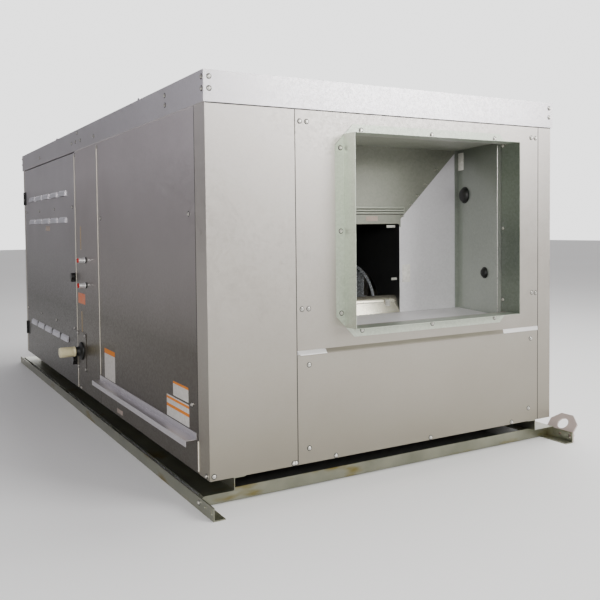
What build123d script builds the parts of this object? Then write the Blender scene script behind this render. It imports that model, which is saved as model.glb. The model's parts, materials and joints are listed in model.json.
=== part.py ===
from build123d import *
from math import cos, radians, sin
import os

os.makedirs("parts", exist_ok=True)

# Makeup air unit on a skid of steel angles. Millimetres, with X across the duct end, Y from the duct end
# back along the unit and Z up from the ground. The origin is the middle of the footprint on the ground.

# Cabinet
cab_w = 1434.0
cab_l = 2736.0
cab_h = 1200.0
skin = 1.5
panel_deep = 25.0
seam = 2.0
inner_t = 2.0

# Skid: two long angles, cross members between them and a bent support under each side
rail_h = 40.0
rail_leg = 38.0
rail_t = 4.0
rail_out = 746.0
rail_over = 84.0
cross_h = 39.0
cross_t = 3.0
cross_leg = 38.0
cross_setback = 30.0
cross_tab = 30.0
cross_count = 4
support_h = 42.0
support_t = 2.5
support_web_x = 636.0
support_flange = 102.0
support_top_leg = 36.0
bolt_hole_r = 5.5
bolt_z = 24.0
bolt_y1 = 56.0
bolt_y2 = 12.0
slot_w = 9.0
slot_l = 20.0
foot_hole_r = 4.0

# Lifting lugs on the right rail
lug_t = 6.0
lug_half_w = 60.0
lug_top_half_w = 26.0
lug_side_h = 36.0
lug_h = 67.0
lug_lean = 40.0
lug_hole_r = 22.0
lug_hole_up = 26.0
lug_from_end = 60.0

# Roof
roof_t = 2.0
fascia_h = 92.0
fascia_t = 2.0
fascia_out = 5.0
hem_h = 9.0
roof_seam_w = 26.0
roof_seam_h = 6.0
roof_seam_y = (-811.0, 451.0)

# Floor pan, corner posts and top angles
frame_leg = 38.0
frame_top_leg = 16.0
pan_t = 3.0
pan_up = 37.0

# Widths of the panels at the corners, and the seams of the control strip along Y
corner_panel_w = 302.0
right_post_w = 66.0
post_side = 80.0
strip_y = (-246.0, 127.0)
hinge_post = 38.0
rear_post_w = 80.0

# Duct opening, its collar and the drip edge below it
duct_w = 719.0
duct_h = 616.0
duct_x = 126.5
duct_z = 729.0
collar_t = 1.5
collar_leg = 63.0
collar_flange = 35.0
duct_margin = 2.0
drip_z = 352.0
drip_h = 12.0
drip_out = 9.0
drip_t = 1.5

# Discharge plenum behind the duct opening
plenum_deep = 328.0
plenum_flare = 73.0
plenum_floor_z = 405.0
plenum_ceiling_z = 1048.0
plenum_flange = 19.0
plenum_lap = 18.0
plenum_lap_t = 1.5
bulkhead_seam_in = 5.5
bulkhead_lap = 20.0
cable_hole = (276.0, 864.0, 29.0)
drain_hole = (135.0, 559.0, 18.0)

# Blower: double inlet wheel in a scroll with its outlet on the plenum's back wall
outlet_w = 400.0
outlet_h = 348.0
outlet_right = 258.0
outlet_corner = 14.0
outlet_ear = 4.0
wheel_back = 600.0
wheel_z = 420.0
wheel_r = 165.0
wheel_w = 314.0
blade_count = 40
blade_chord = 27.0
blade_t = 1.6
ring_t = 3.0
ring_w = 10.0
disc_t = 3.0
hub_r = 30.0
hub_w = 40.0
shaft_r = 12.5
shaft_gap = 0.2
fit_gap = 0.3
scroll_step = 44.0
wrap_t = 2.0
tongue_r = 25.0
tongue_z = 445.0
inlet_r = 135.0
bearing_r = 30.0
bearing_w = 24.0
bar_w = 44.0
bar_t = 6.0
shaft_over = 20.0
stand_t = 3.0
stand_y = 130.0
stand_foot = 40.0

# Ribbed strip over the blower outlet
trim_h = 30.0
trim_over = 22.0
trim_up = 36.0
trim_beads = 3
bead_r = 4.0

# Control door, its louvres, hinges and latches
door_gap = 5.0
door_deep = 19.0
louvre_y = (371.0, 558.0, 745.0, 928.0, 1110.0)
louvre_z = (925.0, 794.0, 206.0)
louvre_w = 140.0
louvre_h = 28.0
louvre_out = 10.0
louvre_bend = 7.5
hinge_h = 76.0
hinge_leaf_w = 34.0
hinge_t = 2.5
knuckle_r = 6.0
pin_gap = 0.2
knuckle_gap = 0.5
hinge_z = (152.0, 937.0)
latch_y = 160.0
latch_z = (131.0, 524.0)
knob_r = 17.0
knob_out = 20.0
knob_tail = 25.0
latch_stem_r = 6.0
cam_l = 52.0
cam_w = 16.0
cam_t = 3.0
cam_clear = 5.0

# Controls on the strip beside the door
pilot_y = -38.0
pilot_z = (494.0, 607.0)
pilot_r = 11.0
pilot_out = 32.0
lens_out = 10.0
wire_slots = ((47.0, 317.0), (41.0, 707.0))
wire_slot_w = 7.0
wire_slot_l = 110.0
seal_t = 3.0
plate_w = 146.0
plate_h = 178.0
plate_t = 2.0
plate_z = 185.0
pipe_y = 50.0
pipe_r = 13.5
pipe_out = 34.0
pipe_in = 60.0
boot_r = 41.0
boot_t = 9.0
cap_r = 23.0
cap_l = 72.0
ledge_z = 103.0
ledge_out = 37.0
ledge_lip = 19.0
ledge_t = 2.0
ledge_end = 16.0

# Control compartment and the air intake at the far end
compartment_deep = 450.0
intake_margin = 30.0
intake_h = 760.0
intake_z = 620.0
intake_frame = 40.0
intake_frame_deep = 50.0
blade_n = 9
blade_deep = 60.0
blade_sheet = 2.5

# Faces and levels that the sizes above give
left, right = -cab_w / 2, cab_w / 2
front, back = -cab_l / 2, cab_l / 2
cross_top = rail_t + cross_h
sill = cross_top + support_h
top = sill + cab_h
duct_x0, duct_x1 = duct_x - duct_w / 2, duct_x + duct_w / 2
duct_z0, duct_z1 = sill + duct_z - duct_h / 2, sill + duct_z + duct_h / 2
bulkhead_y = front + plenum_deep
wheel_y = front + wheel_back
outlet_left = outlet_right - outlet_w
outlet_z0 = sill + plenum_floor_z
outlet_z1 = outlet_z0 + outlet_h
wheel_x = (outlet_left + outlet_right) / 2
axle_z = sill + wheel_z
inner_left, inner_right = left + panel_deep, right - panel_deep
seam_x_left, seam_x_right = left + corner_panel_w, right - right_post_w
inner_front, inner_back = front + panel_deep, back - panel_deep


def area(x0, y0, x1, y1, mode=Mode.ADD):
    """A rectangle between two opposite corners of the sketch."""
    with Locations(((x0 + x1) / 2, (y0 + y1) / 2)):
        Rectangle(abs(x1 - x0), abs(y1 - y0), mode=mode)


def block(x0, x1, y0, y1, z0, z1, mode=Mode.ADD):
    """A box between two opposite corners of the part."""
    with Locations(((x0 + x1) / 2, (y0 + y1) / 2, (z0 + z1) / 2)):
        Box(abs(x1 - x0), abs(y1 - y0), abs(z1 - z0), mode=mode)


def save(piece, label):
    """Label the finished piece and write its file."""
    piece.part.label = label
    export_step(piece.part, f"parts/{label}.step")


def front_tray(x0, x1, z0, z1):
    """A sheet panel on the duct end with its four edges folded inwards."""
    block(x0, x1, front, inner_front, z0, z1)
    block(x0 + skin, x1 - skin, front + skin, inner_front, z0 + skin, z1 - skin, mode=Mode.SUBTRACT)


def side_tray(side, y0, y1, z0, z1, deep=panel_deep):
    """A sheet panel on one long side, side -1 or 1, with its four edges folded inwards."""
    face = side * cab_w / 2
    block(face, face - side * deep, y0, y1, z0, z1)
    inner_face = face - side * skin
    block(inner_face, face - side * deep, y0 + skin, y1 - skin, z0 + skin, z1 - skin, mode=Mode.SUBTRACT)


def corner_tray(side, y_face, y_side, x_face, z0, z1):
    """A folded corner sheet: from the corner to x_face on the end, and to y_side on the long side."""
    inward = 1 if y_side > y_face else -1
    face = side * cab_w / 2
    with BuildSketch(Plane.XY.offset(z0)) as outline:
        area(face, y_face, x_face, y_face + inward * panel_deep)
        area(face, y_face, face - side * panel_deep, y_side)
    extrude(outline.sketch, amount=z1 - z0)
    with BuildSketch(Plane.XY.offset(z0 + skin)) as hollow:
        x_in = x_face + side * skin
        y_in = y_side - inward * skin
        area(face - side * skin, y_face + inward * skin, x_in, y_face + inward * panel_deep)
        area(face - side * skin, y_face + inward * skin, face - side * panel_deep, y_in)
    extrude(hollow.sketch, amount=z1 - z0 - 2 * skin, mode=Mode.SUBTRACT)


# Skid
rail_end = back + rail_over
for side, label in ((-1, "rail_left"), (1, "rail_right")):
    with BuildPart() as rail:
        outer = side * rail_out
        with BuildSketch(Plane.XZ.offset(rail_end)):
            area(outer, 0, outer - side * rail_t, rail_h)
            area(outer, 0, outer - side * rail_leg, rail_t)
        extrude(amount=-2 * rail_end)
        with BuildSketch(Plane.YZ.offset(outer)):
            with Locations(*[(s * (rail_end - bolt_y1), bolt_z) for s in (-1, 1)]):
                Circle(bolt_hole_r)
            with Locations(*[(s * (rail_end - bolt_y2), bolt_z) for s in (-1, 1)]):
                SlotOverall(slot_l, slot_w, rotation=90)
        extrude(amount=-side * rail_t, mode=Mode.SUBTRACT)
        with BuildSketch(Plane.XY):
            with Locations(*[(outer - side * rail_leg * 0.6, s * (rail_end - bolt_y2)) for s in (-1, 1)]):
                Circle(foot_hole_r)
        extrude(amount=rail_t, mode=Mode.SUBTRACT)
    save(rail, label)

with BuildPart() as cross_members:
    inside = rail_out - rail_t
    first = front + cross_setback
    spacing = -2 * first / (cross_count - 1)
    for i in range(cross_count):
        face_y = first + i * spacing
        away = 1 if i < cross_count / 2 else -1
        block(-inside, inside, face_y, face_y + away * cross_t, rail_t, cross_top)
        block(-inside, inside, face_y, face_y + away * cross_leg, rail_t, rail_t + cross_t)
        for side in (-1, 1):
            x_end = side * inside
            tab_y = face_y - away * cross_tab
            block(x_end, x_end - side * cross_t, face_y, tab_y, rail_t + cross_t, cross_top)
save(cross_members, "cross_members")

with BuildPart() as supports:
    for side in (-1, 1):
        web = side * support_web_x
        block(web, web + side * support_t, front, back, cross_top, sill)
        block(web, web + side * support_flange, front, back, cross_top, cross_top + support_t)
        block(web, web - side * support_top_leg, front, back, sill - support_t, sill)
save(supports, "supports")

# Each lug is a bent plate: an upright leg bolted to the outside of the right rail, and a leaning eye
with BuildPart() as lifting_lugs:
    for end in (-1, 1):
        lug_y = end * (rail_end - lug_from_end)
        block(rail_out, rail_out + lug_t, lug_y - lug_half_w, lug_y + lug_half_w, 2.0, rail_h)
        lean = Plane(
            origin=(rail_out, lug_y, rail_h), x_dir=(0, 1, 0),
            z_dir=(cos(radians(lug_lean)), 0, -sin(radians(lug_lean))),
        )
        with BuildSketch(lean):
            with BuildLine():
                Polyline(
                    (-lug_half_w, 0), (lug_half_w, 0), (lug_half_w, lug_side_h), (lug_top_half_w, lug_h),
                    (-lug_top_half_w, lug_h), (-lug_half_w, lug_side_h), close=True,
                )
            make_face()
            with Locations((0, lug_hole_up)):
                Circle(lug_hole_r, mode=Mode.SUBTRACT)
        extrude(amount=lug_t)
        with BuildSketch(Plane.XZ.offset(-(lug_y - lug_half_w))):
            with BuildLine():
                bend_x = rail_out + lug_t * cos(radians(lug_lean))
                bend_z = rail_h - lug_t * sin(radians(lug_lean))
                Polyline((rail_out, rail_h), (rail_out + lug_t, rail_h), (bend_x, bend_z), close=True)
            make_face()
        extrude(amount=-2 * lug_half_w)
        with BuildSketch(Plane.YZ.offset(rail_out)):
            with Locations(*[(end * (rail_end - d), bolt_z) for d in (bolt_y1, bolt_y2)]):
                Circle(bolt_hole_r)
        extrude(amount=lug_t, mode=Mode.SUBTRACT)
save(lifting_lugs, "lifting_lugs")

# Floor sheet with an upright edge strip along each side, and an angle post in each corner
with BuildPart() as floor_pan:
    block(inner_left, inner_right, inner_front, inner_back, sill, sill + pan_t)
save(floor_pan, "floor_pan")

with BuildPart() as pan_edges:
    strip_z0, strip_z1 = sill + pan_t, sill + pan_t + pan_up
    strip_end = inner_back - pan_t - fit_gap
    for way in (-1, 1):
        x0, y0 = way * inner_right, way * inner_back
        block(inner_left, inner_right, y0, y0 - way * pan_t, strip_z0, strip_z1)
        block(x0, x0 - way * pan_t, -strip_end, strip_end, strip_z0, strip_z1)
save(pan_edges, "pan_edges")

roof_under = top - roof_t
post_x0, post_y0 = inner_right - pan_t, inner_back - pan_t
with BuildPart() as corner_posts:
    for sx in (-1, 1):
        for sy in (-1, 1):
            x0, y0 = sx * post_x0, sy * post_y0
            z0, z1 = sill + pan_t, roof_under - inner_t
            block(x0, x0 - sx * frame_leg, y0, y0 - sy * inner_t, z0, z1)
            block(x0, x0 - sx * inner_t, y0, y0 - sy * frame_leg, z0, z1)
save(corner_posts, "corner_posts")

# Angles under the edge of the roof, with a small gap where two meet
with BuildPart() as top_angles:
    z0, z1 = roof_under - frame_leg, roof_under
    for sy in (-1, 1):
        y0 = sy * inner_back
        block(inner_left, inner_right, y0, y0 - sy * inner_t, z0, z1)
        block(inner_left, inner_right, y0, y0 - sy * frame_top_leg, z1 - inner_t, z1)
    y_end = inner_back - frame_top_leg - fit_gap
    for sx in (-1, 1):
        x0 = sx * inner_right
        block(x0, x0 - sx * inner_t, -y_end, y_end, z0, z1)
        block(x0, x0 - sx * frame_top_leg, -y_end, y_end, z1 - inner_t, z1)
save(top_angles, "top_angles")

# Roof sheet with two low cross seams, and the fascias round it
edge_x, edge_y = right + fascia_out, back + fascia_out
with BuildPart() as roof_sheet:
    block(-edge_x, edge_x, -edge_y, edge_y, roof_under, top)
    for y in roof_seam_y:
        with BuildSketch(Plane.YZ.offset(-edge_x)):
            with BuildLine():
                foot, crest = roof_seam_w / 2, roof_seam_w / 4
                Polyline(
                    (y - foot, top), (y + foot, top), (y + crest, top + roof_seam_h),
                    (y - crest, top + roof_seam_h), close=True,
                )
            make_face()
        extrude(amount=2 * edge_x)
save(roof_sheet, "roof_sheet")

fascia_z0 = top - fascia_h
for end, label in ((-1, "fascia_front"), (1, "fascia_rear")):
    with BuildPart() as fascia:
        y_out = end * edge_y
        block(-edge_x, edge_x, y_out, y_out - end * fascia_t, fascia_z0, roof_under)
        with BuildSketch(Plane.XZ.offset(-y_out)):
            with BuildLine():
                Polyline(
                    (-right, fascia_z0), (right, fascia_z0), (right - hem_h / 2, fascia_z0 + hem_h),
                    (-right + hem_h / 2, fascia_z0 + hem_h), close=True,
                )
            make_face()
        extrude(amount=end * fascia_out)
    save(fascia, label)
for side, label in ((-1, "fascia_left"), (1, "fascia_right")):
    with BuildPart() as fascia:
        x_out = side * edge_x
        y_in = back + fascia_out - fascia_t
        block(x_out, x_out - side * fascia_t, -y_in, y_in, fascia_z0, roof_under)
        block(x_out, x_out - side * fascia_out, front, back, fascia_z0, fascia_z0 + hem_h)
    save(fascia, label)

# Panels of the duct end
half_seam = seam / 2
panel_top = roof_under
with BuildPart() as corner_panel:
    corner_tray(-1, front, front + post_side - half_seam, seam_x_left - half_seam, sill, panel_top)
save(corner_panel, "corner_panel")

with BuildPart() as right_post:
    corner_tray(1, front, front + post_side - half_seam, seam_x_right + half_seam, sill, panel_top)
save(right_post, "right_post")

panel_x0, panel_x1 = seam_x_left + half_seam, seam_x_right - half_seam
drip_z0 = sill + drip_z - drip_h / 2
drip_z1 = drip_z0 + drip_h
hole_x0, hole_x1 = duct_x0 - duct_margin, duct_x1 + duct_margin
hole_z0, hole_z1 = duct_z0 - duct_margin, duct_z1 + duct_margin
with BuildPart() as duct_panel:
    front_tray(panel_x0, panel_x1, drip_z1, panel_top)
    block(hole_x0 - skin, hole_x1 + skin, front, inner_front, hole_z0 - skin, hole_z1 + skin)
    block(hole_x0, hole_x1, front, inner_front, hole_z0, hole_z1, mode=Mode.SUBTRACT)
save(duct_panel, "duct_panel")

with BuildPart() as lower_panel:
    front_tray(panel_x0, panel_x1, sill, drip_z0)
save(lower_panel, "lower_panel")

# The drip edge is a bent strip: a flat back between the two panels and a lip that slopes out and down
with BuildPart() as drip_edge:
    with BuildSketch(Plane.YZ.offset(panel_x0)):
        with BuildLine():
            Polyline(
                (inner_front, drip_z1), (front, drip_z1), (front - drip_out, drip_z0 + drip_t),
                (front - drip_out, drip_z0 - drip_t), (front - drip_out + drip_t, drip_z0 - drip_t),
                (front, drip_z1 - 2 * drip_t), (front, drip_z0), (inner_front, drip_z0), close=True,
            )
        make_face()
    extrude(amount=panel_x1 - panel_x0)
    with BuildSketch(Plane.XY.offset(drip_z0 - drip_t)):
        for x, way in ((panel_x0, 1), (panel_x1, -1)):
            with BuildLine():
                lip_y = front - drip_out
                Polyline((x, lip_y), (x + way * drip_out, lip_y), (x, front), close=True)
            make_face()
    extrude(amount=drip_h + drip_t, mode=Mode.SUBTRACT)
save(drip_edge, "drip_edge")


def collar_angle(label, x_dir, length, start):
    """One collar angle: a leg out along the duct, and a flange on the panel with mitred ends."""
    plane = Plane(origin=start, x_dir=x_dir, z_dir=(0, -1, 0))
    with BuildPart() as angle:
        with BuildSketch(plane):
            area(0, 0, length, collar_t)
        extrude(amount=collar_leg)
        with BuildSketch(plane):
            with BuildLine():
                mitre = collar_flange
                Polyline((0, 0), (length, 0), (length - mitre, mitre), (mitre, mitre), close=True)
            make_face()
        extrude(amount=collar_t)
    save(angle, label)


collar_angle("collar_top", (1, 0, 0), duct_w, (duct_x0, front, duct_z1))
collar_angle("collar_bottom", (-1, 0, 0), duct_w, (duct_x1, front, duct_z0))
collar_angle("collar_left", (0, 0, 1), duct_h, (duct_x0, front, duct_z0))
collar_angle("collar_right", (0, 0, -1), duct_h, (duct_x1, front, duct_z1))

# Discharge plenum: floor, ceiling and two side walls that flare from the duct opening to the back wall
floor_z = sill + plenum_floor_z
ceiling_z = sill + plenum_ceiling_z
wall_x0 = hole_x0 - plenum_flare
wall_x1 = hole_x1 + plenum_flare
wall_y0 = inner_front
for label, z0, z_hole, up in (
    ("plenum_floor", floor_z, hole_z0 - skin, 1), ("plenum_ceiling", ceiling_z, hole_z1 + skin, -1)
):
    with BuildPart() as deck:
        block(wall_x0 - skin, wall_x1 + skin, wall_y0, bulkhead_y, z0, z0 - up * inner_t)
        block(wall_x0 - skin, wall_x1 + skin, wall_y0, wall_y0 + inner_t, z0, z_hole)
    save(deck, label)

for side, x_hole, x_far, label in (
    (-1, hole_x0, wall_x0, "plenum_left"), (1, hole_x1, wall_x1, "plenum_right")
):
    y_near, z_near, z_far = wall_y0 + inner_t, floor_z, ceiling_z
    wall_l = bulkhead_y - y_near
    with BuildPart() as wall:
        with BuildSketch(Plane.XY.offset(z_near)):
            with BuildLine():
                Polyline(
                    (x_hole, y_near), (x_far, bulkhead_y), (x_far + side * skin, bulkhead_y),
                    (x_hole + side * skin, y_near), close=True,
                )
            make_face()
            area(x_far, bulkhead_y - inner_t, x_far - side * plenum_flange, bulkhead_y)
            area(x_hole + side * skin, y_near, x_hole - side * plenum_lap_t, y_near + plenum_lap)
        extrude(amount=z_far - z_near)
        if side > 0:
            for deep, z, r in (cable_hole, drain_hole):
                with BuildSketch(Plane.YZ.offset(x_hole)):
                    with Locations((front + deep, sill + z)):
                        Circle(r)
                extrude(amount=plenum_flare + skin, mode=Mode.SUBTRACT)
    save(wall, label)

# Back wall of the plenum: the upper sheet laps over the right one along a sloping seam
seam_low = (outlet_right + outlet_ear, outlet_z1 + trim_up / 2)
seam_high = (wall_x1 - bulkhead_seam_in, ceiling_z)
seam_rise = (seam_high[1] - seam_low[1]) / (seam_high[0] - seam_low[0])
with BuildPart() as bulkhead_top:
    with BuildSketch(Plane.XZ.offset(-bulkhead_y)):
        with BuildLine():
            corner_x, corner_z = outlet_right - outlet_corner, outlet_z1 - outlet_corner
            RadiusArc((corner_x, outlet_z1), (outlet_right, corner_z), outlet_corner)
            Polyline(
                (outlet_right, corner_z), (outlet_right + outlet_ear, corner_z), seam_low, seam_high,
                (wall_x0, ceiling_z), (wall_x0, outlet_z1), (corner_x, outlet_z1),
            )
        make_face()
    extrude(amount=-inner_t)
save(bulkhead_top, "bulkhead_top")

sheet_y = bulkhead_y + inner_t
outline_left = (
    (wall_x0, floor_z), (outlet_left, floor_z), (outlet_left, outlet_z1 + bulkhead_lap),
    (wall_x0, outlet_z1 + bulkhead_lap),
)
outline_right = (
    (outlet_right, floor_z), (wall_x1, floor_z), (wall_x1, ceiling_z),
    (seam_high[0] - bulkhead_lap, ceiling_z),
    (outlet_right, seam_low[1] + bulkhead_lap * seam_rise),
)
for label, outline in (("bulkhead_left", outline_left), ("bulkhead_right", outline_right)):
    with BuildPart() as sheet:
        with BuildSketch(Plane.XZ.offset(-sheet_y)):
            with BuildLine():
                Polyline(*outline, close=True)
            make_face()
        extrude(amount=-inner_t)
    save(sheet, label)

# Ribbed strip above the outlet: a rounded bar with half-round beads along it
trim_z = outlet_z1 + trim_up + trim_h / 2
trim_x0 = outlet_left
trim_x1 = outlet_right + trim_over
with BuildPart() as outlet_trim:
    with BuildSketch(Plane.XZ.offset(-bulkhead_y)):
        with Locations(((trim_x0 + trim_x1) / 2, trim_z)):
            RectangleRounded(trim_x1 - trim_x0, trim_h, bead_r)
    extrude(amount=inner_t)
    with BuildSketch(Plane.YZ.offset(trim_x0 + bead_r)):
        for i in range(trim_beads):
            bead_z = trim_z + (i - (trim_beads - 1) / 2) * (trim_h / trim_beads)
            with Locations((bulkhead_y - inner_t, bead_z)):
                Circle(bead_r)
        area(bulkhead_y - inner_t, trim_z - trim_h, bulkhead_y + trim_h, trim_z + trim_h, mode=Mode.SUBTRACT)
    extrude(amount=trim_x1 - trim_x0 - 2 * bead_r)
save(outlet_trim, "outlet_trim")

# Scroll of the blower: three quarter arcs that widen by one step each, a straight top and a rolled tongue.
# scroll_path gives the inside of the wrap in the Y-Z plane.
scroll_y = sheet_y + inner_t
roof_line = outlet_z1
arc_1 = roof_line - axle_z - 2.5 * scroll_step
arc_2 = arc_1 + scroll_step
arc_3 = arc_2 + scroll_step
c1 = (wheel_y + scroll_step / 2, axle_z - scroll_step / 2)
c2 = (c1[0], c1[1] + scroll_step)
c3 = (c1[0] - scroll_step, c2[1])
tongue_y = c1[0] - arc_1 - tongue_r
tongue_top = sill + tongue_z


def scroll_path():
    """Inside of the wrap, from the top of the outlet round to its bottom lip."""
    Line((scroll_y, roof_line), (c3[0], roof_line))
    CenterArc(c3, arc_3, 0, 90)
    CenterArc(c2, arc_2, 270, 90)
    CenterArc(c1, arc_1, 180, 90)
    Line((c1[0] - arc_1, c1[1]), (c1[0] - arc_1, tongue_top))
    CenterArc((tongue_y, tongue_top), tongue_r, 0, 180)
    Line((tongue_y - tongue_r, tongue_top), (scroll_y, outlet_z0))


with BuildPart() as scroll_wrap:
    with BuildSketch(Plane.YZ.offset(outlet_left)):
        with BuildLine() as wrap_line:
            scroll_path()
        trace(line_width=wrap_t)
    extrude(amount=outlet_w)
save(scroll_wrap, "scroll_wrap")

with BuildPart() as scroll_sides:
    for x in (outlet_left - wrap_t, outlet_right):
        with BuildSketch(Plane.YZ.offset(x)):
            with BuildLine():
                scroll_path()
                Line((scroll_y, outlet_z0), (scroll_y, roof_line))
            make_face()
            offset(amount=wrap_t / 2, kind=Kind.INTERSECTION)
            with Locations((wheel_y, axle_z)):
                Circle(inlet_r, mode=Mode.SUBTRACT)
        extrude(amount=wrap_t)
    block(
        outlet_left - wrap_t, outlet_right + wrap_t, scroll_y - wrap_t, scroll_y,
        outlet_z0 - wrap_t, roof_line + wrap_t,
        mode=Mode.SUBTRACT,
    )
save(scroll_sides, "scroll_sides")

# Wheel: bent blades between two end rings and a centre disc, on a hub and shaft
wheel_x0, wheel_x1 = wheel_x - wheel_w / 2, wheel_x + wheel_w / 2
blade_in = wheel_r - blade_chord
hub_bore = shaft_r + shaft_gap
rim_r = wheel_r + blade_t


def wheel_plane(x):
    """The plane square to the axle at x, with its centre on the axle."""
    return Plane(origin=(x, wheel_y, axle_z), x_dir=(0, 1, 0), z_dir=(1, 0, 0))


blade_face = [
    (blade_in, 0), (blade_in + blade_chord * 0.55, blade_chord * 0.12),
    (wheel_r - blade_t, blade_chord * 0.62),
]
blade_back = [(u + 0.6 * blade_t, v - 0.95 * blade_t) for u, v in reversed(blade_face)]
with BuildPart() as blower_wheel:
    with BuildSketch(wheel_plane(wheel_x0)):
        with PolarLocations(0, blade_count):
            with BuildLine():
                Polyline(*blade_face, *blade_back, close=True)
            make_face()
    extrude(amount=wheel_w)
    for x, outer_r, inner_r, t in (
        (wheel_x0, rim_r, wheel_r - ring_w, ring_t), (wheel_x1 - ring_t, rim_r, wheel_r - ring_w, ring_t),
        (wheel_x - disc_t / 2, rim_r, hub_bore, disc_t), (wheel_x - hub_w / 2, hub_r, hub_bore, hub_w),
    ):
        with BuildSketch(wheel_plane(x)):
            Circle(outer_r)
            Circle(inner_r, mode=Mode.SUBTRACT)
        extrude(amount=t)
save(blower_wheel, "blower_wheel")

shaft_x0 = outlet_left - wrap_t - bearing_w - bar_t - shaft_over
shaft_x1 = outlet_right + wrap_t + bearing_w + bar_t + shaft_over
with BuildPart() as blower_shaft:
    with BuildSketch(wheel_plane(shaft_x0)):
        Circle(shaft_r)
    extrude(amount=shaft_x1 - shaft_x0)
save(blower_shaft, "blower_shaft")

# A bar across each inlet carries the bearing
with BuildPart() as bearing_bars:
    for x, way in ((outlet_left - wrap_t, -1), (outlet_right + wrap_t, 1)):
        with BuildSketch(wheel_plane(x)):
            Rectangle(bar_w, 2 * (inlet_r + bar_w / 2))
            Circle(hub_bore, mode=Mode.SUBTRACT)
        extrude(amount=way * bar_t)
        with BuildSketch(wheel_plane(x + way * bar_t)):
            Circle(bearing_r)
            Circle(hub_bore, mode=Mode.SUBTRACT)
        extrude(amount=way * bearing_w)
save(bearing_bars, "bearing_bars")

# Stand under each side of the scroll
with BuildPart() as blower_stand:
    for x, way in ((outlet_left - wrap_t, -1), (outlet_right + wrap_t, 1)):
        foot_z = sill + pan_t
        block(x, x + way * stand_t, wheel_y - stand_y, wheel_y + stand_y, foot_z, axle_z - inlet_r - bar_w)
        block(x, x + way * stand_foot, wheel_y - stand_y, wheel_y + stand_y, foot_z, foot_z + stand_t)
save(blower_stand, "blower_stand")

# Fixed panels of the left side
header_z0 = top - fascia_h - door_gap
with BuildPart() as access_panel:
    side_tray(-1, front + post_side + half_seam, strip_y[0] - half_seam, sill, panel_top)
save(access_panel, "access_panel")

stub_z = sill + plate_z
with BuildPart() as control_strip:
    side_tray(-1, strip_y[0] + half_seam, strip_y[1] - half_seam, sill, panel_top)
    with BuildSketch(Plane.YZ.offset(left)):
        with Locations(*[(pilot_y, sill + z) for z in pilot_z]):
            Circle(pilot_r + fit_gap)
        with Locations(*[(y, sill + z) for y, z in wire_slots]):
            SlotOverall(wire_slot_l, wire_slot_w, rotation=90)
        with Locations((pipe_y, stub_z)):
            Circle(boot_r - boot_t)
    extrude(amount=skin, mode=Mode.SUBTRACT)
save(control_strip, "control_strip")

with BuildPart() as slot_seals:
    for y, z in wire_slots:
        seal_y, seal_z = wire_slot_w, wire_slot_l / 2 + wire_slot_w
        seal_x = left + skin
        block(seal_x, seal_x + seal_t, y - seal_y, y + seal_y, sill + z - seal_z, sill + z + seal_z)
save(slot_seals, "slot_seals")

door_y0 = strip_y[1] - half_seam + door_gap
post_y = back - hinge_post
door_y1 = post_y - door_gap
with BuildPart() as door_header:
    side_tray(-1, strip_y[1] + half_seam, post_y - half_seam, header_z0 + door_gap, panel_top)
save(door_header, "door_header")

with BuildPart() as rear_posts:
    corner_tray(-1, back, post_y, left + rear_post_w, sill, panel_top)
    corner_tray(1, back, post_y, right - rear_post_w, sill, panel_top)
save(rear_posts, "rear_posts")

with BuildPart() as right_panels:
    for y0, y1 in ((front + post_side, strip_y[0]), (strip_y[0], strip_y[1]), (strip_y[1], post_y)):
        side_tray(1, y0 + half_seam, y1 - half_seam, sill, panel_top)
save(right_panels, "right_panels")

# Control door: a folded sheet with rows of pressed louvres, each hooded and open at its lower edge
door_z1 = header_z0
with BuildPart() as control_door:
    side_tray(-1, door_y0, door_y1, sill, door_z1, door_deep)
    for z in louvre_z:
        for y in louvre_y:
            lz = sill + z
            with BuildSketch(Plane.XZ.offset(-(y - louvre_w / 2))):
                with BuildLine():
                    Polyline(
                        (left, lz + louvre_h / 2), (left - louvre_bend, lz + louvre_h / 6),
                        (left - louvre_out, lz - louvre_h / 2), (left, lz - louvre_h / 2), close=True,
                    )
                make_face()
            extrude(amount=-louvre_w)
            with BuildSketch(Plane.XZ.offset(-(y - louvre_w / 2 + skin))):
                with BuildLine():
                    Polyline(
                        (left + skin, lz + louvre_h / 2 - skin),
                        (left - louvre_bend + skin, lz + louvre_h / 6 - skin),
                        (left - louvre_out + skin, lz - louvre_h / 2),
                        (left + skin, lz - louvre_h / 2), close=True,
                    )
                make_face()
            extrude(amount=-(louvre_w - 2 * skin), mode=Mode.SUBTRACT)
    with BuildSketch(Plane.YZ.offset(left)):
        with Locations(*[(latch_y, sill + z) for z in latch_z]):
            Circle(latch_stem_r + pin_gap)
    extrude(amount=skin, mode=Mode.SUBTRACT)
save(control_door, "control_door")

# Hinges: three knuckles in line, the middle one on the door's leaf
pin_x = left - knuckle_r
pin_y = (door_y1 + post_y) / 2
knuckle_h = hinge_h / 3
leaf_from_pin = knuckle_r + knuckle_gap
with BuildPart() as hinge_leaves:
    for z in hinge_z:
        z0 = sill + z - hinge_h / 2
        block(left, left - hinge_t, pin_y + leaf_from_pin, back - hinge_t, z0, z0 + hinge_h)
        for k in (0, 2):
            with BuildSketch(Plane.XY.offset(z0 + k * knuckle_h)):
                with Locations((pin_x, pin_y)):
                    Circle(knuckle_r)
                area(left, pin_y, left - hinge_t, pin_y + 2 * knuckle_r)
            extrude(amount=knuckle_h)
save(hinge_leaves, "hinge_leaves")

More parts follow.
